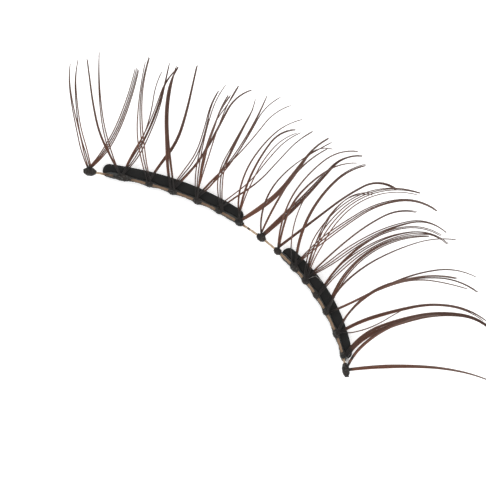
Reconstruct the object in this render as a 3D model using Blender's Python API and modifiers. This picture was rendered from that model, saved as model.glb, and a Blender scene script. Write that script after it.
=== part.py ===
"""A magnetic false eyelash strip: sixteen tufts of lash hair knotted on a thread, and two magnet bars."""

import math

import bmesh
import bpy
from mathutils import Vector

MM = 0.001

# Neighbours stay this far apart, a tenth of the thread's thickness.
GAP = 0.03 * MM

# Seen from above, the band is a curve that tightens evenly from its inner end to its outer end.
BAND_LENGTH = 32.4 * MM
INNER_RADIUS = 61.0 * MM
OUTER_RADIUS = 16.5 * MM
INNER_HEADING = math.radians(28.9)

THREAD_RADIUS = 0.13 * MM
THREAD_END = 0.3 * MM
THREAD_STEP = 0.8 * MM
THREAD_BEVEL_RESOLUTION = 2

BAR_THICKNESS = 0.6 * MM
BAR_EDGE = 0.06 * MM
BAR_STATIONS = 16
BAR_END_STATIONS = 6
BAR_PROBE = 0.001

# Each bar: its two ends along the band, how wide it is at each end, and how far outwards from the thread
# its centre line runs at its start, middle and end.
BARS = (
    # name, start, end, start width, end width, start offset, middle offset, end offset
    ("magnet_long", 1.15, 15.0, 1.25, 1.25, 0.36, 0.6, 0.45),
    ("magnet_short", 19.75, 31.5, 1.4, 1.05, 0.38, 0.62, 0.36),
)

KNOT_SIDES = 12
KNOT_STATIONS = 5
KNOT_BORE = THREAD_RADIUS + GAP

# Each knot: where it sits along the band, its length along the thread, and its thickness.
KNOTS = (
    # name, place, length, thickness
    ("tuft_01", 0.0, 1.3, 0.85),
    ("tuft_02", 3.1, 1.8, 0.8),
    ("tuft_03", 5.7, 0.8, 0.72),
    ("tuft_04", 8.0, 0.95, 0.8),
    ("tuft_05", 10.5, 0.95, 0.82),
    ("tuft_06", 12.7, 0.8, 0.72),
    ("tuft_07", 14.9, 0.95, 0.82),
    ("tuft_08", 17.4, 1.0, 0.9),
    ("tuft_09", 19.4, 0.85, 0.85),
    ("tuft_10", 21.6, 1.1, 0.85),
    ("tuft_11", 23.2, 0.9, 0.85),
    ("tuft_12", 24.9, 0.8, 0.72),
    ("tuft_13", 26.7, 0.8, 0.78),
    ("tuft_14", 29.0, 0.95, 0.78),
    ("tuft_15", 31.1, 0.7, 0.7),
    ("tuft_16", 32.4, 1.2, 0.74),
)

# Each leg of a tuft: how many hairs it holds, the way it leans at its root, middle and tip, in degrees
# from +Y towards +X, how far its hairs fan out at the tip, its length seen from above, and its layer.
# Layers 2 and 3 are the legs that lean inwards, which cross over those of the tuft before.
LEGS = (
    # knot, hairs, root, middle, tip, fan, length, layer
    ("tuft_01", 4, -56, -47, -32, 8, 10.4, 2),
    ("tuft_01", 5, 5, -14, -28, 8, 10.6, 0),
    ("tuft_02", 4, -64, -49, -37, 14, 12.1, 2),
    ("tuft_02", 5, -4, -15, -20, 16, 11.6, 0),
    ("tuft_03", 3, -46, -41, -26, 6, 11.7, 2),
    ("tuft_03", 3, -4, -16, -27, 3, 12.0, 0),
    ("tuft_04", 4, -45, -39, -18, 8, 11.8, 2),
    ("tuft_04", 6, 3, -12, 3, 28, 11.2, 0),
    ("tuft_05", 4, -27, -23, -9, 18, 10.4, 2),
    ("tuft_05", 6, 8, -5, 8, 36, 11.9, 0),
    ("tuft_06", 3, -48, -14, -3, 10, 10.3, 2),
    ("tuft_06", 3, 29, 4, 23, 8, 11.6, 0),
    ("tuft_07", 4, -34, -5, 30, 8, 11.3, 2),
    ("tuft_07", 6, 27, 0, 34, 14, 11.4, 0),
    ("tuft_08", 4, -28, 0, 23, 6, 11.5, 2),
    ("tuft_08", 6, 12, 5, 42, 8, 12.4, 0),
    ("tuft_09", 4, -28, -1, 54, 8, 13.0, 2),
    ("tuft_09", 4, 14, 17, 68, 6, 13.4, 0),
    ("tuft_10", 4, -31, -6, 34, 6, 12.3, 2),
    ("tuft_10", 4, 8, 23, 96, 6, 15.8, 0),
    ("tuft_11", 2, -27, -8, 50, 6, 11.6, 2),
    ("tuft_11", 4, -22, 10, 70, 10, 14.8, 3),
    ("tuft_11", 2, 13, 17, 57, 6, 12.8, 1),
    ("tuft_11", 4, 26, 25, 91, 8, 14.9, 0),
    ("tuft_12", 7, -8, 24, 90, 11, 14.8, 1),
    ("tuft_13", 4, -16, 16, 52, 8, 13.1, 2),
    ("tuft_13", 2, -15, 25, 55, 4, 14.7, 3),
    ("tuft_13", 6, 29, 33, 78, 14, 14.3, 0),
    ("tuft_14", 3, -12, 29, 62, 6, 13.5, 2),
    ("tuft_14", 4, 24, 43, 90, 6, 14.9, 0),
    ("tuft_15", 7, 6, 42, 96, 8, 16.1, 0),
    ("tuft_16", 3, -15, 25, 47, 6, 10.8, 2),
    ("tuft_16", 5, 45, 57, 86, 4, 14.7, 0),
)

HAIR_RADIUS = 0.06 * MM
LOCK_TIP_RADIUS = 0.025 * MM
LOCK_STATIONS = 11
LOCK_BEVEL_RESOLUTION = 1
FORKING_FAN = 13.0
FORK_SPACING = 0.15 * MM
MIDDLE_FAN = 0.5
LENGTH_PER_FAN = 0.05

# The higher its layer, the higher up a lock leaves its knot, and the more steeply it climbs from there.
# Towards its tip it curls up.
ROOT_CLIMB = 2.0
LAYER_CLIMB = 6.0
CURL = 30.0
ROOT_ANGLE = 12.0
LAYER_ANGLE = 25.0
ROOT_SPREAD = 0.1

WELD_DISTANCE = 0.0001 * MM

HAIR_COLOUR = (0.045, 0.026, 0.02)
BAR_COLOUR = (0.013, 0.013, 0.012)
THREAD_COLOUR = (0.5, 0.36, 0.22)


def clear_scene():
    for thing in list(bpy.data.objects):
        bpy.data.objects.remove(thing, do_unlink=True)


def new_collection(name):
    collection = bpy.data.collections.new(name)
    bpy.context.scene.collection.children.link(collection)
    return collection


def principled(name, colour, roughness, metallic=0.0):
    material = bpy.data.materials.new(name)
    material.use_nodes = True
    shader = material.node_tree.nodes["Principled BSDF"]
    shader.inputs["Base Color"].default_value = (*colour, 1.0)
    shader.inputs["Roughness"].default_value = roughness
    shader.inputs["Metallic"].default_value = metallic
    return material


def band_heading(distance):
    """The band's direction at this distance from its inner end, in radians from +X."""
    tightening = (1 / OUTER_RADIUS - 1 / INNER_RADIUS) / BAND_LENGTH
    return INNER_HEADING - distance / INNER_RADIUS - tightening * distance**2 / 2


def band_place(distance, steps=200):
    """The band's point at this distance from its inner end, with that end at zero."""
    step = distance / steps
    point = Vector((0.0, 0.0, 0.0))
    for i in range(steps):
        heading = band_heading((i + 0.5) * step)
        point += step * Vector((math.cos(heading), math.sin(heading), 0.0))
    return point


def along(distance):
    heading = band_heading(distance)
    return Vector((math.cos(heading), math.sin(heading), 0.0))


def outward(distance):
    heading = band_heading(distance)
    return Vector((-math.sin(heading), math.cos(heading), 0.0))


UP = Vector((0.0, 0.0, 1.0))

# The origin is the middle of the long bar's flat underside.
LONG_BAR_MIDDLE = (BARS[0][1] + BARS[0][2]) / 2 * MM
LONG_BAR_OFFSET = BARS[0][6] * MM
ORIGIN = band_place(LONG_BAR_MIDDLE) + LONG_BAR_OFFSET * outward(LONG_BAR_MIDDLE)

# The thickest knot clears the bars' top faces by the gap, and the thread runs through all knots.
THREAD_HEIGHT = BAR_THICKNESS + GAP + max(thickness for _, _, _, thickness in KNOTS) / 2 * MM


def on_band(distance, out=0.0, up=0.0):
    """A point in the part's frame, this far along the band, outwards from it and above the base."""
    return band_place(distance) - ORIGIN + out * outward(distance) + up * UP


def mesh_object(name, collection, build):
    """An object whose mesh is what build(bm) leaves in a bmesh, welded and facing outwards."""
    mesh = bpy.data.meshes.new(name)
    bm = bmesh.new()
    build(bm)
    bmesh.ops.remove_doubles(bm, verts=bm.verts, dist=WELD_DISTANCE)
    bmesh.ops.recalc_face_normals(bm, faces=bm.faces)
    bm.to_mesh(mesh)
    bm.free()
    thing = bpy.data.objects.new(name, mesh)
    collection.objects.link(thing)
    return thing


def as_mesh(source, collection):
    """Replaces an object by a mesh object of its evaluated form."""
    bpy.context.view_layer.update()
    graph = bpy.context.evaluated_depsgraph_get()
    mesh = bpy.data.meshes.new_from_object(source.evaluated_get(graph))
    mesh.transform(source.matrix_world)
    name = source.name
    bpy.data.objects.remove(source, do_unlink=True)
    solid = mesh_object(name, collection, lambda bm: bm.from_mesh(mesh))
    bpy.data.meshes.remove(mesh)
    return solid


def tube(name, collection, points, radii, bevel_resolution):
    """A round tube through these points, with a radius at each."""
    curve = bpy.data.curves.new(name, "CURVE")
    curve.dimensions = "3D"
    curve.bevel_depth = 1.0
    curve.bevel_resolution = bevel_resolution
    curve.use_fill_caps = True
    spline = curve.splines.new("POLY")
    spline.points.add(len(points) - 1)
    for station, point, radius in zip(spline.points, points, radii):
        station.co = (*point, 1.0)
        station.radius = radius
    thing = bpy.data.objects.new(name, curve)
    collection.objects.link(thing)
    return as_mesh(thing, collection)


def through_three(share, first, middle, last):
    """A smooth run of values that passes through these three at its start, middle and end."""
    return (
        (1 - share) * (1 - 2 * share) * first
        + 4 * share * (1 - share) * middle
        + share * (2 * share - 1) * last
    )


def bar_centre(share, start, end, offsets):
    """The bar's centre line, this share of the way from its start to its end."""
    return on_band(start + share * (end - start), out=through_three(share, *offsets))


def bar_outline(start, end, start_width, end_width, offsets):
    """The bar from above, along its centre line, with round ends."""
    length = end - start
    first = start_width / 2 / length
    last = 1 - end_width / 2 / length
    outer_side = []
    inner_side = []
    for i in range(BAR_STATIONS + 1):
        share = first + (last - first) * i / BAR_STATIONS
        centre = bar_centre(share, start, end, offsets)
        ahead = bar_centre(share + BAR_PROBE, start, end, offsets) - centre
        sideways = UP.cross(ahead.normalized())
        half_width = (start_width + share * (end_width - start_width)) / 2
        outer_side.append(centre + half_width * sideways)
        inner_side.append(centre - half_width * sideways)
    far_end = round_end(outer_side[-1], inner_side[-1])
    near_end = round_end(inner_side[0], outer_side[0])
    return outer_side + far_end + inner_side[::-1] + near_end


def round_end(corner, other):
    """Points on the half circle that runs clockwise, seen from above, from one corner to the other."""
    centre = (corner + other) / 2
    spoke = corner - centre
    forward = spoke.cross(UP)
    points = []
    for i in range(1, BAR_END_STATIONS):
        turn = math.pi * i / BAR_END_STATIONS
        points.append(centre + math.cos(turn) * spoke + math.sin(turn) * forward)
    return points


def magnet_bar(row, collection):
    """A flat bar cut to its outline, lying on the base with its long edges eased."""
    name = row[0]
    start, end, start_width, end_width, *offsets = (value * MM for value in row[1:])
    curve = bpy.data.curves.new(name, "CURVE")
    curve.dimensions = "2D"
    curve.fill_mode = "BOTH"
    curve.extrude = BAR_THICKNESS / 2
    outline = bar_outline(start, end, start_width, end_width, offsets)
    spline = curve.splines.new("POLY")
    spline.points.add(len(outline) - 1)
    spline.use_cyclic_u = True
    for station, point in zip(spline.points, outline):
        station.co = (*point, 1.0)
    flat = bpy.data.objects.new(name, curve)
    flat.location.z = BAR_THICKNESS / 2
    collection.objects.link(flat)
    bar = as_mesh(flat, collection)
    edge = bar.modifiers.new("eased edge", "BEVEL")
    edge.width = BAR_EDGE
    edge.segments = 1
    edge.limit_method = "ANGLE"
    edge.angle_limit = math.radians(50)
    return bar


def knot_profile(length, thickness, closed_end):
    """The outer side of a knot, from one mouth of its bore to the other, as (along, radius) pairs.
    The mouth at a closed end is on the axis instead."""
    half_length = length / 2
    half_thickness = thickness / 2
    mouth = math.asin(KNOT_BORE / half_thickness)
    first = 0.0 if closed_end < 0 else mouth
    last = math.pi if closed_end > 0 else math.pi - mouth
    profile = []
    for i in range(KNOT_STATIONS + 1):
        turn = first + (last - first) * i / KNOT_STATIONS
        profile.append((-half_length * math.cos(turn), half_thickness * math.sin(turn)))
    return profile


def knot(name, collection, place, length, thickness, closed_end):
    """A wound knot: a turned lemon shape about the thread, with a bore that clears it.
    At an end of the band (closed_end -1 or 1) the bore stops just past the thread's end."""
    profile = knot_profile(length, thickness, closed_end)
    bottom = closed_end * (THREAD_END + GAP)
    if closed_end < 0:
        profile.append((bottom, KNOT_BORE))
        profile.append((bottom, 0.0))
    if closed_end > 0:
        profile.insert(0, (bottom, KNOT_BORE))
        profile.insert(0, (bottom, 0.0))
    edge_count = len(profile) - (1 if closed_end else 0)
    mesh = bpy.data.meshes.new(name)
    points = [(radius, 0.0, distance) for distance, radius in profile]
    edges = [(i, (i + 1) % len(profile)) for i in range(edge_count)]
    mesh.from_pydata(points, edges, [])
    turned = bpy.data.objects.new(name, mesh)
    collection.objects.link(turned)
    screw = turned.modifiers.new("turn", "SCREW")
    screw.steps = KNOT_SIDES
    screw.render_steps = KNOT_SIDES
    screw.use_merge_vertices = True
    screw.merge_threshold = WELD_DISTANCE
    turned.rotation_mode = "QUATERNION"
    turned.rotation_quaternion = along(place).to_track_quat("Z", "Y")
    turned.location = on_band(place, up=THREAD_HEIGHT)
    return as_mesh(turned, collection)


def lean_at(share, root, middle, tip):
    """The lean of a leg at this share of its length: a smooth curve through its three leans."""
    return math.radians(through_three(share, root, middle, tip))


def lock_path(root_point, leans, length, layer):
    """Points from root to tip: the leans steer it seen from above, and its climb grows to the curl."""
    step = length / (LOCK_STATIONS - 1)
    point = root_point.copy()
    points = [point.copy()]
    for i in range(LOCK_STATIONS - 1):
        share = (i + 0.5) / (LOCK_STATIONS - 1)
        lean = lean_at(share, *leans)
        climb = math.radians(ROOT_CLIMB + LAYER_CLIMB * layer * (1 - share) + CURL * share)
        point += step * Vector((math.sin(lean), math.cos(lean), math.tan(climb)))
        points.append(point.copy())
    return points


def lock_radii(full):
    """Full for the first half, then tapering to a fine tip."""
    radii = []
    for i in range(LOCK_STATIONS):
        share = i / (LOCK_STATIONS - 1)
        radii.append(max(LOCK_TIP_RADIUS, full * (1 - 0.9 * share**2)))
    return radii


def lock(name, collection, knot_row, leg, fork, forks):
    """One lock of a leg. A leg that fans out widely forks into two, one above the other."""
    _, place, knot_length, knot_thickness = knot_row
    _, hairs, root, middle, tip, fan, length, layer = leg
    side = 1 if layer < 2 else -1
    offset = 0.0 if forks == 1 else fork - 0.5
    radius = HAIR_RADIUS * math.sqrt(hairs / forks)
    layer = layer + fork
    angle = math.radians(ROOT_ANGLE + LAYER_ANGLE * layer)
    reach = max(KNOT_BORE + radius + GAP, knot_thickness * MM / 2 - radius)
    start = place * MM + side * ROOT_SPREAD * knot_length * MM + offset * FORK_SPACING
    root_point = on_band(
        start,
        out=reach * math.cos(angle),
        up=THREAD_HEIGHT + reach * math.sin(angle),
    )
    leans = (root, middle + MIDDLE_FAN * fan * offset, tip + fan * offset)
    fanned_length = length + LENGTH_PER_FAN * fan * offset
    points = lock_path(root_point, leans, fanned_length * MM, layer)
    return tube(name, collection, points, lock_radii(radius), LOCK_BEVEL_RESOLUTION)


def fuse(base, others, collection):
    """Joins solids that overlap into one body."""
    for other in others:
        union = base.modifiers.new("fuse", "BOOLEAN")
        union.operation = "UNION"
        union.object = other
    fused = as_mesh(base, collection)
    for other in others:
        bpy.data.objects.remove(other, do_unlink=True)
    return fused


def tuft(row, collection):
    name, place, length, thickness = row
    closed_end = -1 if row is KNOTS[0] else 1 if row is KNOTS[-1] else 0
    body = knot(name, collection, place * MM, length * MM, thickness * MM, closed_end)
    locks = []
    for leg in LEGS:
        if leg[0] != name:
            continue
        forks = 2 if leg[5] >= FORKING_FAN else 1
        for fork in range(forks):
            locks.append(lock("lock", collection, row, leg, fork, forks))
    return fuse(body, locks, collection)


def band_thread(collection):
    """The thread, from just inside the first knot to just inside the last."""
    length = BAND_LENGTH + 2 * THREAD_END
    steps = round(length / THREAD_STEP)
    points = []
    for i in range(steps + 1):
        points.append(on_band(length * i / steps - THREAD_END, up=THREAD_HEIGHT))
    radii = [THREAD_RADIUS] * len(points)
    return tube("band_thread", collection, points, radii, THREAD_BEVEL_RESOLUTION)


def finish(thing, material, smooth_angle):
    thing.data.materials.clear()
    thing.data.materials.append(material)
    thing.data.shade_smooth()
    thing.data.set_sharp_from_angle(angle=math.radians(smooth_angle))


def main():
    clear_scene()
    strip = new_collection("false_eyelash_strip")
    hair = principled("lash hair", HAIR_COLOUR, 0.45)
    black = principled("black magnet", BAR_COLOUR, 0.6)
    straw = principled("tan thread", THREAD_COLOUR, 0.8)
    for row in BARS:
        finish(magnet_bar(row, strip), black, 30)
    finish(band_thread(strip), straw, 60)
    for row in KNOTS:
        finish(tuft(row, strip), hair, 60)


main()
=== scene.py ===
# False eyelash strip: single hairs, wound knots, a two-ply thread, magnet bars and glue, over the
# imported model.
import math
import random

import bpy
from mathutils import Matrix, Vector, kdtree


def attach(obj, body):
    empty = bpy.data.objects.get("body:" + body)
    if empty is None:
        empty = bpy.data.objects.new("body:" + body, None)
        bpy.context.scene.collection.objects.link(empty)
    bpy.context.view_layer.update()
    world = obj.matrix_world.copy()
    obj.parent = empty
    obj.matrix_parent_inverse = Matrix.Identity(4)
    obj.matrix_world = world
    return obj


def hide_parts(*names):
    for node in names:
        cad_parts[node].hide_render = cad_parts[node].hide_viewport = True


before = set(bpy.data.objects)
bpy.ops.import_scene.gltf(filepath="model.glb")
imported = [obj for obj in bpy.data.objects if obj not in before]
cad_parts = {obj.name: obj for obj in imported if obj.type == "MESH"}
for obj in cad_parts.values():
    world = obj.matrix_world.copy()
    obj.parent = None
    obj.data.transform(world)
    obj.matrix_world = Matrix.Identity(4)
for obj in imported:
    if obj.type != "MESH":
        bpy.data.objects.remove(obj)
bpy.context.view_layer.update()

mm = 0.001
up = Vector((0.0, 0.0, 1.0))


# the band: everything on the strip is placed by its distance along this curve, in millimetres

band = {
    "length": 32.4,
    "innerRadius": 61.0,
    "outerRadius": 16.5,
    "innerHeading": 28.9,      # degrees from +X
    "originDistance": 8.075,   # the middle of the long bar
    "originOut": 0.6,
    "threadHeight": 1.08,
    # the points that glueAndShadeAt finds its place along the band by
    "firstStep": -0.3,
    "step": 0.1,
    "stepCount": 331,
}


def bandHeading(distance):
    tightening = (1 / band["outerRadius"] - 1 / band["innerRadius"]) / band["length"]
    turned = distance / band["innerRadius"] + tightening * distance ** 2 / 2
    return math.radians(band["innerHeading"]) - turned


def along(distance):
    heading = bandHeading(distance)
    return Vector((math.cos(heading), math.sin(heading), 0.0))


def outward(distance):
    heading = bandHeading(distance)
    return Vector((-math.sin(heading), math.cos(heading), 0.0))


def bandPoint(distance, steps=200):
    step = distance / steps
    point = Vector((0.0, 0.0, 0.0))
    for i in range(steps):
        point += step * along((i + 0.5) * step)
    return point


bandOrigin = bandPoint(band["originDistance"]) + band["originOut"] * outward(band["originDistance"])


def onBand(distance, out=0.0, height=0.0):
    return bandPoint(distance) - bandOrigin + out * outward(distance) + height * up


# each knot: its place along the band, length along the thread and thickness
knots = {
    "tuft_01": (0.0, 1.3, 0.85),
    "tuft_02": (3.1, 1.8, 0.8),
    "tuft_03": (5.7, 0.8, 0.72),
    "tuft_04": (8.0, 0.95, 0.8),
    "tuft_05": (10.5, 0.95, 0.82),
    "tuft_06": (12.7, 0.8, 0.72),
    "tuft_07": (14.9, 0.95, 0.82),
    "tuft_08": (17.4, 1.0, 0.9),
    "tuft_09": (19.4, 0.85, 0.85),
    "tuft_10": (21.6, 1.1, 0.85),
    "tuft_11": (23.2, 0.9, 0.85),
    "tuft_12": (24.9, 0.8, 0.72),
    "tuft_13": (26.7, 0.8, 0.78),
    "tuft_14": (29.0, 0.95, 0.78),
    "tuft_15": (31.1, 0.7, 0.7),
    "tuft_16": (32.5, 1.4, 0.74),
}

# each bar: its ends along the band, its width at each end, and how far outwards from the thread its
# centre line runs at its start, middle and end
magnets = {
    "magnet_long": (1.15, 15.0, 1.25, 1.25, 0.36, 0.6, 0.45),
    "magnet_short": (19.75, 31.5, 1.4, 1.05, 0.38, 0.62, 0.36),
}

# how far the darkening of the hair reaches past a bar's ends and its edge and round a knot, and how it
# fades out; over a bar it is painted shade, round a knot it is dark glue
glueAndShadeReach = {
    "barEnd": 0.1,
    "barEdge": 0.22,
    "barFade": 0.3,
    "knotFade": 0.25,
}


bandTable = kdtree.KDTree(band["stepCount"])
for step in range(band["stepCount"]):
    bandTable.insert(onBand(band["step"] * step + band["firstStep"]), step)
bandTable.balance()


def barOffset(name, distance):
    # how far outwards from the thread the bar's centre line runs, here along the band
    start, end, _, _, first, middle, last = magnets[name]
    share = (distance - start) / (end - start)
    return ((1 - share) * (1 - 2 * share) * first + 4 * share * (1 - share) * middle
            + share * (2 * share - 1) * last)


def glueAndShadeAt(point):
    # 1 over a bar and close to a knot, 0 in the open; over a bar this marks painted shade on the hair,
    # close to a knot the knot's dark glue
    flat = Vector((point.x, point.y, 0.0))
    nearest, step, _ = bandTable.find(flat)
    distance = band["step"] * step + band["firstStep"]
    out = (flat - nearest).dot(outward(distance))
    glued = 0.0
    for name, (start, end, startWidth, endWidth, *_) in magnets.items():
        if start - glueAndShadeReach["barEnd"] < distance < end + glueAndShadeReach["barEnd"]:
            width = startWidth + (endWidth - startWidth) * (distance - start) / (end - start)
            edge = barOffset(name, distance) + width / 2
            inside = edge + glueAndShadeReach["barEdge"] - out
            glued = max(glued, min(1.0, inside / glueAndShadeReach["barFade"]))
    for place, length, thickness in knots.values():
        beside = max(0.0, abs(distance - place) - length / 2)
        reach = math.hypot(beside, out) - thickness / 2
        glued = max(glued, min(1.0, 1.0 - reach / glueAndShadeReach["knotFade"]))
    return glued


# small helpers

def deselectAll():
    if bpy.context.object and bpy.context.object.mode != "OBJECT":
        bpy.ops.object.mode_set(mode="OBJECT")
    bpy.ops.object.select_all(action="DESELECT")


def makeActive(thing):
    deselectAll()
    thing.select_set(True)
    bpy.context.view_layer.objects.active = thing


def joinPieces(pieces, name):
    deselectAll()
    for piece in pieces:
        piece.select_set(True)
    bpy.context.view_layer.objects.active = pieces[0]
    bpy.ops.object.join()
    joined = bpy.context.object
    joined.name = name
    joined.data.name = name
    return joined


def settle(thing, smoothAngle=60):
    # the place goes into the mesh, doubles are merged, faces turned outwards
    makeActive(thing)
    bpy.ops.object.transform_apply(location=True, rotation=True, scale=True)
    bpy.ops.object.mode_set(mode="EDIT")
    bpy.ops.mesh.select_all(action="SELECT")
    bpy.ops.mesh.remove_doubles(threshold=2e-7)
    bpy.ops.mesh.normals_make_consistent(inside=False)
    bpy.ops.object.mode_set(mode="OBJECT")
    bpy.ops.object.shade_smooth_by_angle(angle=math.radians(smoothAngle))
    return thing


def tubeMesh(name, strands, bevelResolution=1):
    # strands: each a list of (point in mm, radius in mm); makes one mesh of round tubes with closed ends,
    # with three attributes: the share along the strand, a tone for each strand, and how dark it is painted,
    # as painted shade over the bars and as glue by the knots
    sides = 2 * bevelResolution + 4
    curve = bpy.data.curves.new(name, "CURVE")
    curve.dimensions = "3D"
    curve.bevel_depth = 1.0
    curve.bevel_resolution = bevelResolution
    curve.use_fill_caps = True
    for strand in strands:
        spline = curve.splines.new("POLY")
        spline.points.add(len(strand) - 1)
        for station, (point, radius) in zip(spline.points, strand):
            station.co = (*(point * mm), 1.0)
            station.radius = radius * mm
    tube = bpy.data.objects.new(name, curve)
    bpy.context.scene.collection.objects.link(tube)
    makeActive(tube)
    bpy.ops.object.convert(target="MESH")
    tube = bpy.context.object
    mesh = tube.data
    capVertices = 2 * sides * len(strands)
    values = {"share": [0.0] * len(mesh.vertices), "tone": [0.5] * len(mesh.vertices),
              "glued": [0.0] * len(mesh.vertices)}
    tree = kdtree.KDTree(len(mesh.vertices) - capVertices)
    index = capVertices
    for strand in strands:
        tone = random.random()
        for station, (point, _) in enumerate(strand):
            glued = glueAndShadeAt(point)
            for _ in range(sides):
                values["share"][index] = station / (len(strand) - 1)
                values["tone"][index] = tone
                values["glued"][index] = glued
                tree.insert(mesh.vertices[index].co, index)
                index += 1
    tree.balance()
    for cap in range(capVertices):
        nearest = tree.find(mesh.vertices[cap].co)[1]
        for value in values.values():
            value[cap] = value[nearest]
    for key, value in values.items():
        mesh.attributes.new(key, "FLOAT", "POINT").data.foreach_set("value", value)
    return settle(tube)


# materials

class Wire:
    # one socket of a material, which Python's own + - * / join to others by Math nodes
    def __init__(self, finish, socket):
        self.finish = finish
        self.socket = socket

    def __add__(self, other):
        return self.finish.maths("ADD", self, other)

    def __radd__(self, other):
        return self.finish.maths("ADD", other, self)

    def __sub__(self, other):
        return self.finish.maths("SUBTRACT", self, other)

    def __rsub__(self, other):
        return self.finish.maths("SUBTRACT", other, self)

    def __mul__(self, other):
        return self.finish.maths("MULTIPLY", self, other)

    def __rmul__(self, other):
        return self.finish.maths("MULTIPLY", other, self)


class Finish:
    # a material whose nodes are added one by one
    def __init__(self, name):
        self.material = bpy.data.materials.new(name)
        self.material.use_nodes = True
        self.tree = self.material.node_tree
        self.shader = self.tree.nodes["Principled BSDF"]

    def add(self, kind, settings, inputs, output=0):
        node = self.tree.nodes.new(kind)
        for key, value in settings.items():
            if key == "stops":
                for extra in range(len(value) - 2):
                    node.color_ramp.elements.new(0.5)
                for stop, (place, colour) in zip(node.color_ramp.elements, value):
                    stop.position = place
                    stop.color = (*colour, 1.0)
            else:
                setattr(node, key, value)
        for key, value in inputs.items():
            if isinstance(value, Wire):
                self.tree.links.new(value.socket, node.inputs[key])
            else:
                node.inputs[key].default_value = value
        return Wire(self, node.outputs[output])

    def maths(self, operation, first, second=0.0):
        return self.add("ShaderNodeMath", {"operation": operation}, {0: first, 1: second})

    def objectPlace(self):
        return self.add("ShaderNodeTexCoord", {}, {}, "Object")

    def ownValue(self, name):
        return self.add("ShaderNodeAttribute", {"attribute_name": name}, {}, "Fac")

    def noise(self, place, scale, detail=3.0, roughness=0.55):
        return self.add("ShaderNodeTexNoise", {}, {
            "Vector": place, "Scale": scale, "Detail": detail, "Roughness": roughness})

    def between(self, value, low, high, first=0.0, second=1.0):
        return self.add("ShaderNodeMapRange", {"clamp": True}, {
            "Value": value, "From Min": low, "From Max": high, "To Min": first, "To Max": second})

    def blend(self, share, first, second):
        first = first if isinstance(first, Wire) else (*first, 1.0)
        second = second if isinstance(second, Wire) else (*second, 1.0)
        return self.add("ShaderNodeMix", {"data_type": "RGBA"}, {0: share, 6: first, 7: second}, 2)

    def bump(self, height, strength, distance):
        return self.add("ShaderNodeBump", {}, {
            "Height": height, "Strength": strength, "Distance": distance})

    def set(self, **values):
        for key, value in values.items():
            socket = self.shader.inputs[key.replace("_", " ")]
            if isinstance(value, Wire):
                self.tree.links.new(value.socket, socket)
            elif isinstance(value, tuple):
                socket.default_value = (*value, 1.0)
            else:
                socket.default_value = value
        return self.material


def wear(thing, material):
    thing.data.materials.clear()
    thing.data.materials.append(material)


# lash hair

lashFinish = {
    # near black: painted shade on hair over the bars, and dark glue on hair by the knots
    "glued": (0.013, 0.010, 0.009),
    "dark": (0.072, 0.031, 0.020),
    "warm": (0.170, 0.068, 0.040),
    "tip": (0.130, 0.080, 0.063),
    "roughness": (0.38, 0.55),
    "streakScale": 2600.0,     # all noise scales are per metre
    "patchScale": 420.0,
}


def lashMaterial():
    finish = Finish("brown lash fibre")
    place = finish.objectPlace()
    share = finish.ownValue("share")
    tone = finish.ownValue("tone")
    streak = finish.noise(place, lashFinish["streakScale"], 3.0)
    patch = finish.noise(place, lashFinish["patchScale"], 2.0)
    colour = finish.blend(finish.between(share, 0.2, 0.9), lashFinish["warm"], lashFinish["tip"])
    shade = finish.between(0.75 * tone + 0.25 * patch, 0.25, 0.8, 0.0, 0.8)
    colour = finish.blend(shade, colour, lashFinish["dark"])
    colour = finish.blend(finish.between(streak, 0.45, 0.75, 0.0, 0.35), colour, lashFinish["tip"])
    # hair over the bars is painted near black as shade, for want of light coming through it from the floor;
    # by the knots the darkening is glue
    colour = finish.blend(finish.between(finish.ownValue("glued"), 0.15, 0.85), colour, lashFinish["glued"])
    low, high = lashFinish["roughness"]
    return finish.set(
        Base_Color=colour,
        Roughness=finish.between(streak, 0.3, 0.7, low, high),
        Specular_IOR_Level=0.35,
        Normal=finish.bump(streak, 0.25, 0.00001),
    )


hair = {
    "radius": 0.058,
    "tipRadius": 0.032,
    "taper": 0.24,
    "stations": 30,
    "partedBy": 0.25,      # the share of its length by which a lock has parted into its hairs
    "stagger": 0.05,
    "rootClimb": 2.0,
    "layerClimb": 6.0,
    "curl": 29.0,
    "rootAngle": 12.0,
    "layerAngle": 25.0,
    "leastReach": 0.31,    # from the thread's middle to where hairs leave the knot
    "sunk": 0.12,
    "leanJitter": 0.3,
    "lengthJitter": 0.022,
    "seed": 7,
    # how far apart neighbouring hairs of a lock lie at the root, further up and at the tip
    "gaps": {
        "lone": (0.0, 0.0, 0.0),
        "shut": (0.05, 0.05, 0.02),
        "close": (0.06, 0.09, 0.02),
        "loose": (0.07, 0.11, 0.03),
        "parted": (0.08, 0.24, 0.02),
        "wide": (0.08, 0.34, 0.05),
        "fan": (0.06, 0.155, 0.12),
    },
}

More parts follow.
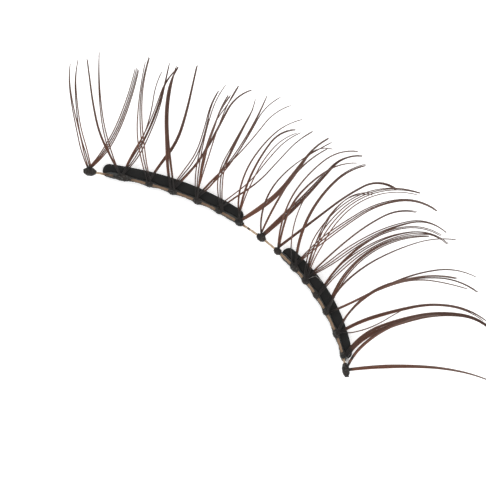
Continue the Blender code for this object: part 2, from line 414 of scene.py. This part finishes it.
# each lock: where it leaves its knot, five leans from root to tip (degrees from +Y towards +X),
# length seen from above, layer, hairs, and how they part; leans go in steps of 5 degrees, and
# starts and lengths in steps of 0.1 and 0.2 mm
locks = {
    "tuft_01": [
        (-0.1, -60, -50, -50, -45, -30, 10.2, 2, 2, "parted"),
        (0.1, -50, -55, -45, -40, -25, 10.6, 2, 2, "parted"),
        (-0.1, 10, -5, -15, -20, -25, 10.6, 0, 4, "fan"),
    ],
    "tuft_02": [
        (-0.2, -65, -65, -50, -45, -45, 11.6, 2, 2, "close"),
        (-0.2, -65, -55, -45, -40, -35, 12.0, 2, 2, "parted"),
        (0.0, -15, -5, -20, -30, -10, 10.4, 0, 1, "lone"),
        (0.0, -15, -5, -15, -20, 10, 11.4, 0, 2, "parted"),
        (-0.1, 10, -10, -15, -25, -25, 11.6, 0, 2, "parted"),
    ],
    "tuft_03": [
        (-0.2, -55, -50, -35, -30, -25, 11.4, 2, 1, "lone"),
        (0.1, -55, -45, -40, -30, -20, 12.0, 2, 2, "parted"),
        (-0.1, -5, 0, -20, -25, -25, 12.0, 0, 3, "close"),
    ],
    "tuft_04": [
        (-0.2, -50, -40, -40, -30, -5, 11.8, 2, 3, "close"),
        (0.1, -45, -45, -40, -30, -20, 11.8, 2, 2, "close"),
        (-0.2, 0, 0, -20, -25, -5, 10.4, 0, 2, "parted"),
        (-0.1, 10, 5, -15, -20, -5, 10.4, 0, 2, "loose"),
        (0.0, 10, 0, -10, -10, 35, 12.0, 0, 2, "close"),
    ],
    "tuft_05": [
        (-0.2, -45, -35, -25, -20, -25, 7.8, 2, 1, "lone"),
        (-0.1, -30, -30, -20, -15, 0, 10.4, 2, 2, "close"),
        (-0.1, -30, -25, -25, 0, -10, 11.6, 2, 1, "lone"),
        (-0.2, 20, -5, -15, -5, -25, 11.0, 0, 2, "shut"),
        (-0.2, 10, 5, -5, -10, -15, 11.8, 0, 2, "parted"),
        (-0.3, 5, 10, -5, -10, 25, 12.4, 0, 1, "lone"),
        (-0.2, 0, 10, 5, 0, 35, 12.6, 0, 1, "lone"),
        (-0.1, -40, -30, -25, -20, 0, 11.2, 2, 1, "lone"),
        (-0.2, -25, -20, -20, -15, -5, 11.4, 2, 1, "lone"),
    ],
    "tuft_06": [
        (0.3, -50, -35, -10, -10, -10, 10.4, 2, 3, "parted"),
        (0.0, 15, 20, 5, 5, 25, 11.4, 0, 2, "shut"),
        (-0.3, 15, 15, 0, 5, 30, 10.6, 0, 1, "lone"),
    ],
    "tuft_07": [
        (0.0, -50, -25, -5, 10, 40, 12.2, 2, 2, "shut"),
        (-0.2, -30, -20, -10, 0, 50, 10.8, 2, 2, "close"),
        (-0.2, -25, -15, -10, 5, 35, 10.4, 2, 1, "lone"),
        (0.0, 20, 15, 0, 0, 25, 11.4, 0, 3, "loose"),
        (0.1, 25, 15, 0, -5, 70, 11.4, 0, 2, "close"),
    ],
    "tuft_08": [
        (-0.1, -45, -20, 5, 20, 25, 11.8, 2, 2, "shut"),
        (-0.2, -15, -10, -5, 10, 25, 10.6, 2, 2, "close"),
        (0.0, 10, 10, 5, 5, 60, 12.2, 0, 5, "loose"),
    ],
    "tuft_09": [
        (-0.1, -35, -20, 0, 15, 60, 13.2, 2, 2, "shut"),
        (0.0, -30, -20, 5, 20, 55, 12.2, 2, 2, "close"),
        (-0.2, 15, 15, 15, 25, 90, 13.2, 0, 4, "shut"),
    ],
    "tuft_10": [
        (-0.5, -45, -35, -25, -15, 0, 7.0, 2, 1, "lone"),
        (0.0, -35, -20, -5, 10, 40, 12.4, 2, 3, "close"),
        (-0.1, 5, 15, 20, 45, 90, 15.6, 0, 3, "parted"),
    ],
    "tuft_11": [
        (-0.2, -20, -20, -10, 15, 65, 11.2, 2, 2, "parted"),
        (0.0, -30, -10, 10, 40, 70, 15.4, 3, 4, "wide"),
        (-0.1, 5, 10, 15, 25, 65, 12.6, 1, 2, "shut"),
        (-0.2, 25, 15, 25, 40, 95, 14.8, 0, 3, "parted"),
    ],
    "tuft_12": [
        (0.1, -5, 10, 25, 45, 95, 14.6, 1, 3, "parted"),
        (0.1, -10, 5, 20, 45, 85, 14.4, 1, 2, "loose"),
    ],
    "tuft_13": [
        (0.0, -20, -5, 15, 35, 55, 13.0, 2, 4, "loose"),
        (0.1, -20, 10, 25, 35, 60, 14.8, 3, 2, "close"),
        (0.2, 30, 25, 35, 60, 70, 13.6, 0, 3, "shut"),
        (0.2, 30, 25, 30, 45, 80, 14.8, 0, 3, "shut"),
    ],
    "tuft_14": [
        (-0.1, -15, 10, 30, 45, 65, 13.4, 2, 3, "shut"),
        (0.1, -20, 10, 40, 55, 90, 15.8, 2, 2, "shut"),
        (0.0, 20, 35, 40, 60, 90, 14.6, 0, 4, "close"),
        (-0.2, 70, 40, 30, 20, 25, 6.4, 1, 1, "lone"),
    ],
    "tuft_15": [
        (0.1, -5, 30, 40, 60, 105, 16.0, 0, 7, "close"),
    ],
    "tuft_16": [
        (-0.2, -15, 10, 25, 35, 55, 10.6, 2, 3, "close"),
        (0.0, 45, 50, 55, 65, 80, 14.6, 0, 4, "close"),
    ],
}


def leanAt(share, leans):
    stretch = min(int(share * 4), 3)
    part = share * 4 - stretch
    return leans[stretch] * (1 - part) + leans[stretch + 1] * part


def gapAt(share, gaps):
    # how far apart neighbouring hairs of a lock lie, from root to tip
    rootGap, middleGap, tipGap = gaps
    if share < hair["partedBy"]:
        return rootGap + (middleGap - rootGap) * share / hair["partedBy"]
    return middleGap + (tipGap - middleGap) * (share - hair["partedBy"]) / (1 - hair["partedBy"])


def hairStations(root, leans, length, layer, offset, gaps, lift):
    # points and radii from root to tip; offset counts hairs from the middle of the lock
    stations = hair["stations"]
    step = length / (stations - 1)
    point = root.copy()
    found = []
    for i in range(stations):
        share = i / (stations - 1)
        lean = math.radians(leanAt(share, leans))
        aside = offset * gapAt(share, gaps) * Vector((math.cos(lean), -math.sin(lean), 0.0))
        radius = hair["radius"] * (1 - hair["taper"] * share ** 3) if share < 1 else hair["tipRadius"]
        found.append((point + aside + lift * up, radius))
        if i < stations - 1:
            middle = (i + 0.5) / (stations - 1)
            lean = math.radians(leanAt(middle, leans))
            climb = math.radians(hair["rootClimb"] + hair["layerClimb"] * layer * (1 - middle)
                                 + hair["curl"] * middle)
            point += step * Vector((math.sin(lean), math.cos(lean), math.tan(climb)))
    return found


def makeHairs(name):
    place, _, thickness = knots[name]
    strands = []
    for row in locks[name]:
        start, *leans, length, layer, count, parting = row
        gaps = hair["gaps"][parting]
        angle = math.radians(hair["rootAngle"] + hair["layerAngle"] * layer)
        reach = max(hair["leastReach"], thickness / 2 - hair["sunk"])
        root = onBand(place + start, reach * math.cos(angle),
                      band["threadHeight"] + reach * math.sin(angle))
        for i in range(count):
            bent = [lean + random.uniform(-1, 1) * hair["leanJitter"] for lean in leans]
            grown = length * (1 - random.random() * hair["lengthJitter"])
            lift = hair["stagger"] * (i % 2 - 0.5) if count > 1 else 0.0
            strands.append(hairStations(root, bent, grown, layer, i - (count - 1) / 2, gaps, lift))
    return tubeMesh(name + "_hair", strands)


random.seed(hair["seed"])
lash = lashMaterial()
for name in knots:
    piece = makeHairs(name)
    wear(piece, lash)
    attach(piece, "root")
    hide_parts(name)
print("hairs done:", sum(sum(row[8] for row in rows) for rows in locks.values()))


# knots: hair wound round the thread and set in dark glue

knotShape = {
    "wireRadius": 0.055,
    "pitch": 0.1,
    "pointsPerTurn": 14,
    "leastRadius": 0.15,
    "crossings": 2,       # strands that run askew over the winding
    "crossingSteps": 24,
    "crossingStart": 0.9,      # radians
    "crossingApart": 2.1,
    "crossingTurns": (1.1, 0.4),    # of the first one, and how many more each next one makes
    "crossingRun": (0.06, 0.88),    # where one starts along the knot and how far it runs
    "crossingLift": 0.4,       # shares of the winding's wire
    "crossingRadius": 0.8,
    "relief": 0.045,      # how far the winding stands out of the glue that fills it
    "slim": 0.84,         # a bare winding's thickness, as a share of the knot with its glue
}

knotFinish = {
    "dark": (0.009, 0.009, 0.008),
    "brown": (0.026, 0.020, 0.016),
    # painted highlights: grey flecks that stand for the glint of light on the glue over the winding
    "grey": (0.105, 0.108, 0.104),
    "patchScale": 1800.0,
    "fineScale": 6500.0,
}


def knotMaterial():
    finish = Finish("wound hair under glue")
    place = finish.objectPlace()
    patch = finish.noise(place, knotFinish["patchScale"], 3.0)
    fine = finish.noise(place, knotFinish["fineScale"], 2.0)
    colour = finish.blend(finish.between(patch, 0.35, 0.6), knotFinish["dark"], knotFinish["brown"])
    # the grey flecks are painted highlights on the glue, not a colour of the knot
    colour = finish.blend(finish.between(fine, 0.54, 0.7, 0.0, 0.75), colour, knotFinish["grey"])
    return finish.set(
        Base_Color=colour,
        Roughness=finish.between(patch, 0.3, 0.7, 0.3, 0.6),
        Specular_IOR_Level=0.3,
        Normal=finish.bump(fine, 0.4, 0.00002),
    )


def makeKnot(name):
    place, length, thickness = knots[name]
    # the knots at the band's two ends keep their full thickness
    if 0 < place < band["length"]:
        thickness *= knotShape["slim"]
    centre = onBand(place, height=band["threadHeight"])
    axis, side = along(place), outward(place)
    wire = knotShape["wireRadius"]
    half = length / 2 - wire
    turns = max(4, round(2 * half / knotShape["pitch"]))
    count = turns * knotShape["pointsPerTurn"]

    def wound(share, angle, lift=0.0):
        run = 2 * share - 1
        bulge = (thickness / 2 - wire) * math.sqrt(max(0.0, 1 - run * run))
        radius = max(knotShape["leastRadius"], bulge) + lift
        return centre + axis * run * half + radius * (math.cos(angle) * side + math.sin(angle) * up)

    coil = []
    for i in range(count + 1):
        share = i / count
        coil.append((wound(share, 2 * math.pi * turns * share), wire))
    strands = [coil]
    turnsOver, moreTurns = knotShape["crossingTurns"]
    first, run = knotShape["crossingRun"]
    for k in range(knotShape["crossings"]):
        crossing = []
        for i in range(knotShape["crossingSteps"] + 1):
            share = i / knotShape["crossingSteps"]
            angle = (knotShape["crossingStart"] + k * knotShape["crossingApart"]
                     + (turnsOver + moreTurns * k) * 2 * math.pi * share)
            crossing.append((wound(first + run * share, angle, knotShape["crossingLift"] * wire),
                             knotShape["crossingRadius"] * wire))
        strands.append(crossing)
    winding = tubeMesh(name + "_winding", strands)
    deselectAll()
    bpy.ops.mesh.primitive_uv_sphere_add(segments=20, ring_count=12, radius=1.0,
                                         location=centre * mm)
    core = bpy.context.object
    core.rotation_mode = "QUATERNION"
    core.rotation_quaternion = axis.to_track_quat("Z", "Y")
    coreRadius = thickness / 2 - knotShape["relief"]
    core.scale = Vector((coreRadius, coreRadius, length / 2 - knotShape["relief"])) * mm
    settle(core)
    return joinPieces([winding, core], name + "_knot")


knotLook = knotMaterial()
for name in knots:
    piece = makeKnot(name)
    wear(piece, knotLook)
    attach(piece, "root")
    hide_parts(name)
print("knots done:", len(knots))


# band thread: two plies laid side by side

thread = {
    "plyRadius": 0.064,
    "spacing": 0.105,
    "strandRadius": 0.041,
    "lay": 1.1,           # one turn of a ply's twist, mm
    "end": 0.3,
    "step": 0.06,
}

threadFinish = {
    "straw": (0.52, 0.38, 0.25),
    "pale": (0.70, 0.56, 0.41),
    "brown": (0.26, 0.17, 0.11),
    # the darkest colour: painted shade together with glue stain along the bars, and the fleck
    "stainAndShade": (0.06, 0.042, 0.030),
    "fibreScale": 5200.0,
    "patchScale": 1500.0,
    # how dark it is, by distance along the band: darker along the bars, partly painted shade beside them
    # and partly glue soaked into the thread
    "stainedAndShaded": ((0.0, 0.6), (0.75, 0.1), (1.1, 0.15), (1.5, 0.9), (3.9, 0.85), (4.4, 0.55), (15.3, 0.6),
                (15.8, 0.1), (19.1, 0.1), (19.8, 0.4), (31.3, 0.45), (31.7, 0.1), (32.4, 0.6)),
    "fleck": (15.95, 0.16),   # its place along the band and half its length
}


def threadMaterial():
    finish = Finish("straw thread")
    place = finish.objectPlace()
    tone = finish.ownValue("tone")
    total = band["length"] + 2 * thread["end"]
    distance = finish.ownValue("share") * total - thread["end"]
    stops = [((far + thread["end"]) / total, (stainAndShade,) * 3) for far, stainAndShade in threadFinish["stainedAndShaded"]]
    stainedAndShaded = finish.add("ShaderNodeValToRGB", {"stops": stops}, {"Fac": finish.ownValue("share")})
    fibre = finish.noise(place, threadFinish["fibreScale"], 4.0)
    patch = finish.noise(place, threadFinish["patchScale"], 2.0)
    colour = finish.blend(finish.between(fibre, 0.3, 0.7), threadFinish["straw"], threadFinish["pale"])
    colour = finish.blend(finish.between(tone, 0.0, 1.0, 0.0, 0.2), colour, threadFinish["brown"])
    # darker along the bars: painted shade beside the bars together with glue stain
    colour = finish.blend(finish.between(stainedAndShaded, 0.0, 0.5), colour, threadFinish["brown"])
    dark = finish.between(stainedAndShaded, 0.5, 1.0) * finish.between(patch, 0.3, 0.5)
    colour = finish.blend(dark, colour, threadFinish["stainAndShade"])
    middle, half = threadFinish["fleck"]
    away = finish.maths("ABSOLUTE", distance - middle)
    fleck = finish.between(away, half * 0.6, half, 0.8, 0.0)
    colour = finish.blend(fleck, colour, threadFinish["stainAndShade"])
    return finish.set(
        Base_Color=colour,
        Roughness=finish.between(fibre, 0.2, 0.8, 0.65, 0.9),
        Specular_IOR_Level=0.3,
        Normal=finish.bump(fibre, 0.5, 0.00002),
    )


def makeThread():
    total = band["length"] + 2 * thread["end"]
    count = round(total / thread["step"])
    strands = []
    for ply in (-0.5, 0.5):
        for strand in (0, 1):
            found = []
            for i in range(count + 1):
                distance = total * i / count - thread["end"]
                turn = 2 * math.pi * distance / thread["lay"] + math.pi * strand + ply
                radius = thread["plyRadius"] - thread["strandRadius"]
                out = thread["spacing"] * ply + radius * math.cos(turn)
                height = band["threadHeight"] + radius * math.sin(turn)
                found.append((onBand(distance, out, height), thread["strandRadius"]))
            strands.append(found)
    return tubeMesh("band_thread_plies", strands)


plies = makeThread()
wear(plies, threadMaterial())
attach(plies, "root")
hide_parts("band_thread")
print("thread done")


# magnet bars

magnetShape = {
    "thickness": 0.6,
    "station": 0.35,
    "roundEnd": 0.96,      # share of half the width
    "roundSegments": 8,
    "pastRound": 0.02,     # how much longer an end slice is than its round end
    "cuts": (0.05, 0.4, 0.75),
    "edge": 0.11,
    "edgeSegments": 3,
    "unevenness": 0.035,
    "cloudSize": 0.7,
    "flatBelow": 0.15,     # the underside stays flat up to this height
    "guideStart": -1.0,
    "guideStep": 0.25,
    "guideBeyond": 2,
}

magnetFinish = {
    "black": (0.009, 0.009, 0.009),
    "grey": (0.020, 0.020, 0.019),
    "patchScale": 900.0,
    "fineScale": 9000.0,
}


def magnetMaterial():
    finish = Finish("matt black magnet")
    place = finish.objectPlace()
    patch = finish.noise(place, magnetFinish["patchScale"], 4.0)
    fine = finish.noise(place, magnetFinish["fineScale"], 3.0)
    colour = finish.blend(finish.between(patch, 0.3, 0.7), magnetFinish["black"], magnetFinish["grey"])
    return finish.set(
        Base_Color=colour,
        Roughness=finish.between(patch, 0.3, 0.7, 0.5, 0.75),
        Specular_IOR_Level=0.2,
        Normal=finish.bump(fine, 0.5, 0.00002),
    )


def bandGuide():
    # a curve along the band at the height of the floor, for Curve modifiers
    curve = bpy.data.curves.new("band_guide", "CURVE")
    curve.dimensions = "3D"
    curve.twist_mode = "Z_UP"
    spline = curve.splines.new("POLY")
    first, step = magnetShape["guideStart"], magnetShape["guideStep"]
    count = round((band["length"] + magnetShape["guideBeyond"] - first) / step)
    spline.points.add(count)
    for i, station in enumerate(spline.points):
        station.co = (*(onBand(first + step * i) * mm), 1.0)
    guide = bpy.data.objects.new("band_guide", curve)
    bpy.context.scene.collection.objects.link(guide)
    return guide


def selectEdges(thing, wanted):
    # leaves exactly the edges selected whose two ends, in mm, satisfy wanted
    bpy.ops.mesh.select_all(action="DESELECT")
    bpy.ops.mesh.select_mode(type="EDGE")
    bpy.ops.object.mode_set(mode="OBJECT")
    points = [vertex.co / mm for vertex in thing.data.vertices]
    for edge in thing.data.edges:
        edge.select = wanted(points[edge.vertices[0]], points[edge.vertices[1]])
    bpy.ops.object.mode_set(mode="EDIT")


def makeBar(name, guide):
    first, last, startWidth, endWidth = magnets[name][:4]
    start, end = first - magnetShape["guideStart"], last - magnetShape["guideStart"]
    thickness, pastRound = magnetShape["thickness"], magnetShape["pastRound"]
    capLength = startWidth / 2 + pastRound

    def offsetAt(place):
        return barOffset(name, place + magnetShape["guideStart"])

    deselectAll()
    # an end slice, which is drawn out along X station by station
    place, offset, width = start + capLength, offsetAt(start + capLength), startWidth
    bpy.ops.mesh.primitive_cube_add(
        size=mm, scale=(capLength, startWidth, thickness),
        location=Vector((start + capLength / 2, offset, thickness / 2)) * mm)
    bar = bpy.context.object
    bar.name = name + "_bar"
    bpy.ops.object.transform_apply(location=True, rotation=True, scale=True)
    stretch = end - endWidth / 2 - pastRound - start - capLength
    count = round(stretch / magnetShape["station"])
    steps = [stretch / count] * count + [endWidth / 2 + pastRound]
    bpy.ops.object.mode_set(mode="EDIT")
    bpy.ops.mesh.select_mode(type="FACE")
    bpy.ops.mesh.select_all(action="DESELECT")
    bpy.ops.object.mode_set(mode="OBJECT")
    for face in bar.data.polygons:
        face.select = face.normal.x > 0.9
    bpy.ops.object.mode_set(mode="EDIT")
    for step in steps:
        aside = offsetAt(place + step) - offset
        bpy.ops.mesh.extrude_region_move(
            TRANSFORM_OT_translate={"value": (step * mm, aside * mm, 0.0)})
        place, offset = place + step, offset + aside
        wider = startWidth + (endWidth - startWidth) * (place - start) / (end - start)
        bpy.ops.transform.resize(value=(1.0, wider / width, 1.0),
                                 center_override=(place * mm, offset * mm, 0.0))
        width = wider
    # round ends, then three cuts along its length and eased edges
    for place, width in ((start, startWidth), (end, endWidth)):
        selectEdges(bar, lambda a, b: abs(a.x - place) + abs(b.x - place) < 0.01
                    and abs(a.z - b.z) > 0.5)
        bpy.ops.mesh.bevel(offset=magnetShape["roundEnd"] * width / 2 * mm,
                           segments=magnetShape["roundSegments"], affect="EDGES")
    for across in magnetShape["cuts"]:
        bpy.ops.mesh.select_all(action="SELECT")
        bpy.ops.mesh.bisect(plane_co=(0.0, across * mm, 0.0), plane_no=(0.0, 1.0, 0.0))
    bpy.ops.object.mode_set(mode="OBJECT")
    rims = set()
    for face in bar.data.polygons:
        if abs(face.normal.z) < 0.5:
            rims.update(face.edge_keys)
    for edge in bar.data.edges:
        heights = [bar.data.vertices[i].co.z / mm for i in edge.vertices]
        edge.select = edge.key in rims and abs(heights[0] - heights[1]) < 0.01
    bpy.ops.object.mode_set(mode="EDIT")
    bpy.ops.mesh.bevel(offset=magnetShape["edge"] * mm, segments=magnetShape["edgeSegments"],
                       affect="EDGES")
    bpy.ops.object.mode_set(mode="OBJECT")
    bent = bar.modifiers.new("along the band", "CURVE")
    bent.object = guide
    bent.deform_axis = "POS_X"
    bpy.ops.object.modifier_apply(modifier=bent.name)
    above = bar.vertex_groups.new(name="above")
    flatBelow = magnetShape["flatBelow"] * mm
    above.add([v.index for v in bar.data.vertices if v.co.z > flatBelow], 1.0, "REPLACE")
    clouds = bpy.data.textures.new(name + "_unevenness", "CLOUDS")
    clouds.noise_scale = magnetShape["cloudSize"] * mm
    uneven = bar.modifiers.new("uneven", "DISPLACE")
    uneven.texture = clouds
    uneven.texture_coords = "LOCAL"
    uneven.strength = magnetShape["unevenness"] * mm
    uneven.mid_level = 0.5
    uneven.vertex_group = above.name
    bpy.ops.object.modifier_apply(modifier=uneven.name)
    return settle(bar, 50)


magnetLook = magnetMaterial()
guide = bandGuide()
for name in magnets:
    piece = makeBar(name, guide)
    wear(piece, magnetLook)
    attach(piece, "root")
    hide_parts(name)
bpy.data.objects.remove(guide)
print("magnet bars done")


# glue: a bead that holds the thread on each bar and swells at the knots, and what has run off it

glue = {
    "runs": {"glue_long": (1.45, 15.15), "glue_short": (19.7, 31.75)},
    "radius": 0.175,
    "out": 0.02,
    "height": 0.81,
    "fillet": 0.1,
    "filletLength": 0.62,
    "filletSpread": 0.2,   # a knot longer than the usual one spreads its fillet by this share
    "usualKnot": 0.8,
    "endShare": 0.45,      # how thick the bead is at its very ends, and how fast it thickens
    "endSlope": 2.0,
    "smear": ((1.3, 3.9, 0.14), (12.9, 15.3, 0.1), (19.6, 21.6, 0.1)),   # from, to, thicker by
    "ragged": 0.02,
    "step": 0.11,
    "bevelResolution": 3,
    # a fine string of it across the short bar, and a web by that bar's outer end, as points in mm
    "string": ((14.58, 0.56, 1.0), (14.88, 0.62, 0.74), (15.21, 0.81, 0.66), (15.38, 1.13, 0.65),
               (15.59, 1.39, 0.65), (15.95, 1.39, 0.65), (16.31, 1.31, 0.62), (16.47, 1.26, 0.5)),
    "stringRadius": 0.026,
    "web": ((22.45, -2.86, 0.5), (22.74, -3.00, 0.6), (22.95, -3.12, 0.8),
            (23.05, -3.40, 1.0)),
    "webRadii": (0.1, 0.2, 0.16, 0.08),
}

glueFinish = {
    "black": (0.010, 0.011, 0.010),
    "grey": (0.040, 0.043, 0.041),
    # pale greys painted as the glint of light on the clear glue
    "paleGlint": (0.42, 0.41, 0.40),
    "clear": (0.60, 0.59, 0.57),
    "patchScale": 1300.0,
    "fineScale": 4200.0,
    "cloudScale": 3000.0,
}


def glueMaterial():
    finish = Finish("dried black glue")
    place = finish.objectPlace()
    patch = finish.noise(place, glueFinish["patchScale"], 3.0)
    fine = finish.noise(place, glueFinish["fineScale"], 2.0)
    colour = finish.blend(finish.between(patch, 0.4, 0.7), glueFinish["black"], glueFinish["grey"])
    return finish.set(
        Base_Color=colour,
        Roughness=finish.between(fine, 0.3, 0.7, 0.25, 0.5),
        Specular_IOR_Level=0.4,
        Normal=finish.bump(fine, 0.4, 0.00003),
    )


def makeGlue(name):
    start, end = glue["runs"][name]
    count = round((end - start) / glue["step"])
    found = []
    for i in range(count + 1):
        distance = start + (end - start) * i / count
        swell = 0.0
        for place, length, _ in knots.values():
            reach = glue["filletLength"] + glue["filletSpread"] * (length - glue["usualKnot"])
            away = (distance - place) / reach
            swell = max(swell, glue["fillet"] * math.exp(-away ** 2))
        for first, last, thicker in glue["smear"]:
            if first < distance < last:
                swell = max(swell, thicker * math.sin(math.pi * (distance - first) / (last - first)))
        ending = min(1.0, glue["endShare"] + glue["endSlope"] * min(distance - start, end - distance))
        radius = (glue["radius"] + swell) * ending + random.uniform(-1, 1) * glue["ragged"]
        found.append((onBand(distance, glue["out"], glue["height"]), radius))
    return tubeMesh(name, [found], glue["bevelResolution"])


def clearGlueMaterial():
    finish = Finish("clear glue")
    patch = finish.noise(finish.objectPlace(), glueFinish["cloudScale"], 2.0)
    return finish.set(
        # the clear glue is painted pale grey: a painted glint where light catches it
        Base_Color=finish.blend(patch, glueFinish["paleGlint"], glueFinish["clear"]),
        Roughness=finish.between(patch, 0.3, 0.7, 0.15, 0.35),
        Alpha=finish.between(patch, 0.3, 0.7, 0.35, 0.6),
    )


def makeDrawnGlue(name, points, radii):
    return tubeMesh(name, [list(zip(map(Vector, points), radii))], glue["bevelResolution"])


glueLook = glueMaterial()
for name in glue["runs"]:
    piece = makeGlue(name)
    wear(piece, glueLook)
    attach(piece, "root")
clearLook = clearGlueMaterial()
string = makeDrawnGlue("glue_string", glue["string"], [glue["stringRadius"]] * len(glue["string"]))
web = makeDrawnGlue("glue_web", glue["web"], glue["webRadii"])
for piece in (string, web):
    wear(piece, clearLook)
    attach(piece, "root")
print("glue done")


# floor, light and camera

stageLook = {
    "floor": (0.97, 0.97, 0.97),
    "floorGlow": 0.4,
    "worldStrength": 1.0,
    "softboxPower": 0.5,
    "softboxPlace": (-0.25, 0.25, 0.5),   # m
    "softboxSize": 0.4,
    "floorSize": 6.0,
    "floorDrop": 0.00002,
}

view = {
    "centre": (8.29, -0.35, 4.0),   # mm
    "width": 45.49,                 # mm across the picture
    "turn": 37.85,
    "distance": 1.6,                # m
}


def makeStage():
    deselectAll()
    bpy.ops.mesh.primitive_plane_add(size=stageLook["floorSize"],
                                     location=(0.0, 0.0, -stageLook["floorDrop"]))
    floor = bpy.context.object
    floor.name = "floor"
    finish = Finish("pale floor")
    wear(floor, finish.set(Base_Color=stageLook["floor"], Roughness=0.9, Specular_IOR_Level=0.1,
                           Emission_Color=(1.0, 1.0, 1.0), Emission_Strength=stageLook["floorGlow"]))
    world = bpy.data.worlds.new("soft white room")
    world.use_nodes = True
    background = world.node_tree.nodes["Background"]
    background.inputs["Color"].default_value = (1.0, 1.0, 1.0, 1.0)
    background.inputs["Strength"].default_value = stageLook["worldStrength"]
    bpy.context.scene.world = world
    bpy.ops.object.light_add(type="AREA", location=stageLook["softboxPlace"])
    softbox = bpy.context.object
    softbox.data.shape = "DISK"
    softbox.data.size = stageLook["softboxSize"]
    softbox.data.energy = stageLook["softboxPower"]
    softbox.rotation_euler = (-softbox.location).to_track_quat("-Z", "Y").to_euler()


def makeCamera():
    camera = bpy.data.cameras.new("above")
    camera.sensor_width = 36.0
    camera.lens = camera.sensor_width * view["distance"] / (view["width"] * mm)
    camera.clip_start = 0.01
    holder = bpy.data.objects.new("above", camera)
    bpy.context.scene.collection.objects.link(holder)
    holder.location = Vector(view["centre"]) * mm + view["distance"] * up
    holder.rotation_euler = (0.0, 0.0, math.radians(view["turn"]))
    bpy.context.scene.camera = holder


makeStage()
makeCamera()
bpy.context.scene.view_settings.view_transform = "Standard"
print("stage done")
